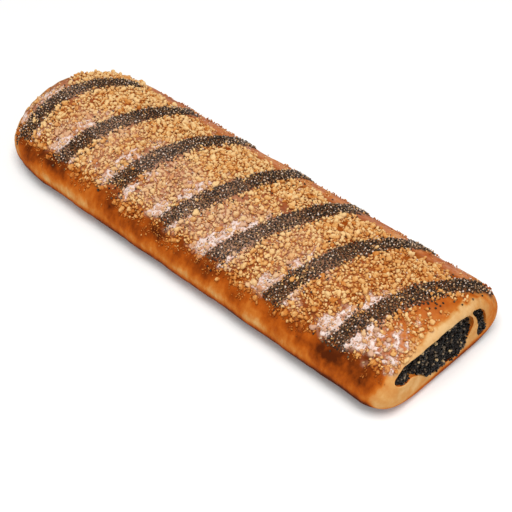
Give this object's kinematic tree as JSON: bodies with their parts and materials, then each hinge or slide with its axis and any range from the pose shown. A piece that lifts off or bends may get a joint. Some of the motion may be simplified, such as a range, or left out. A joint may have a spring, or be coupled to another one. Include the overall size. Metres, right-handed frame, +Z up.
{
  "type": "poppy seed roll",
  "caption": "Long flat baked roll of sweet dough with a dark poppy filling open at both ends, slanting poppy bands and golden crumbs on top.",
  "frame": {"origin": "middle of the base, on the surface that the roll lies on", "axes": "+X along the roll to the open end that faces the viewer, +Y across it, +Z up"},
  "size_m": [0.29, 0.0996, 0.0399],
  "materials": {
    "crust": "egg-washed golden brown yeast crust, satin on the shoulders and pale matte at the base and open ends",
    "filling": "moist dark poppy paste with glossy seeds",
    "crumbs": "dry baked butter crumbs, golden with browned tips",
    "poppy_seeds": "small blue-black seeds with a soft shine",
    "glaze": "thin dried sugar glaze, milky and uneven"
  },
  "bodies": {
    "root": {"dough": "crust", "filling_core": "filling", "filling_turn": "filling"}
  },
  "joints": []
}
